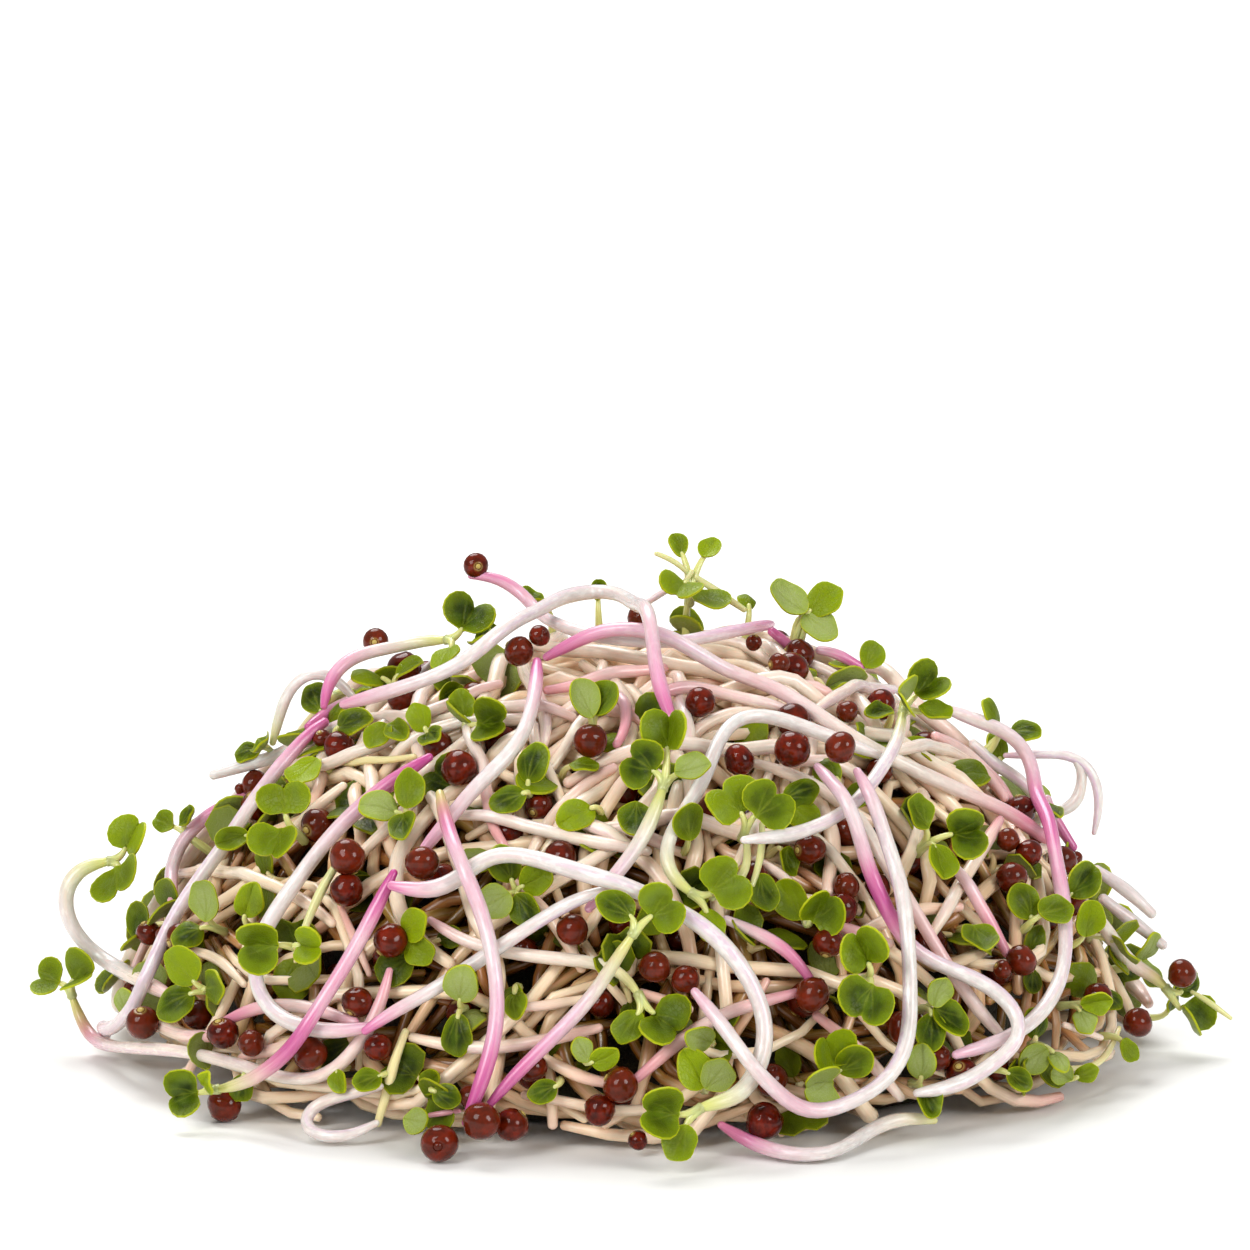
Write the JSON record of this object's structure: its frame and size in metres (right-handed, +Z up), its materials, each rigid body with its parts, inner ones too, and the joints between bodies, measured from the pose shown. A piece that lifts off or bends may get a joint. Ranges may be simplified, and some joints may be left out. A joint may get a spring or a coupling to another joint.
{
  "type": "radish microgreens heap",
  "caption": "Loose heap of cut radish sprouts lying on a flat surface: curved white and pink stems, paired two-lobed seed leaves and round dark red seed coats.",
  "frame": {"origin": "on the surface that the heap lies on, under the middle of the heap", "axes": "+X along the heap's length, +Y towards its back, +Z up"},
  "size_m": [0.1209, 0.0943, 0.051],
  "materials": {
    "stem_white": "moist, half translucent white with pink ends",
    "leaf_green": "soft satin",
    "seed_red": "glossy",
    "tangle_pink": "moist satin"
  },
  "bodies": {
    "root": {"back_1_leaves": "leaf_green", "back_1_stem": "stem_white", "back_2_leaves": "leaf_green", "back_2_stem": "stem_white", "back_3_leaves": "leaf_green", "back_3_stem": "stem_white", "back_4_leaves": "leaf_green", "back_4_stem": "stem_white", "big_bend_leaves": "leaf_green", "big_bend_stem": "stem_white", "bottom_left_loop_stem": "stem_white", "bottom_wave_stem": "stem_white", "centre_pair_leaves": "leaf_green", "centre_stalk_leaves": "leaf_green", "centre_stalk_stem": "stem_white", "crest_leaves": "leaf_green", "far_right_leaves": "leaf_green", "far_right_stem": "stem_white", "inner_tangle": "tangle_pink", "left_arch_stem": "stem_white", "left_loop_leaves": "leaf_green", "left_loop_stem": "stem_white", "left_low_leaves": "leaf_green", "left_low_stem": "stem_white", "left_pair_leaves": "leaf_green", "left_sweep_seeds": "seed_red", "left_sweep_stem": "stem_white", "left_upper_pair_leaves": "leaf_green", "long_right_seeds": "seed_red", "long_right_stem": "stem_white", "low_diagonal_stem": "stem_white", "low_level_leaves": "leaf_green", "low_level_stem": "stem_white", "low_right_diagonal_leaves": "leaf_green", "low_right_diagonal_seeds": "seed_red", "low_right_diagonal_stem": "stem_white", "magenta_diagonal_leaves": "leaf_green", "magenta_diagonal_seeds": "seed_red", "magenta_diagonal_stem": "stem_white", "middle_left_stem": "stem_white", "right_arch_stem": "stem_white", "right_four_lobes_leaves": "leaf_green", "right_leaf_leaves": "leaf_green", "right_leaf_stem": "stem_white", "right_long_stem": "stem_white", "right_loop_seeds": "seed_red", "right_loop_stem": "stem_white", "right_low_stem": "stem_white", "right_root_stem": "stem_white", "right_swing_seeds": "seed_red", "right_swing_stem": "stem_white", "right_upper_group_leaves": "leaf_green", "steep_middle_seeds": "seed_red", "steep_middle_stem": "stem_white", "top_arch_stem": "stem_white", "top_left_leaves": "leaf_green", "top_left_stem": "stem_white", "top_right_stem": "stem_white", "wide_bend_leaves": "leaf_green", "wide_bend_stem": "stem_white"}
  },
  "joints": []
}
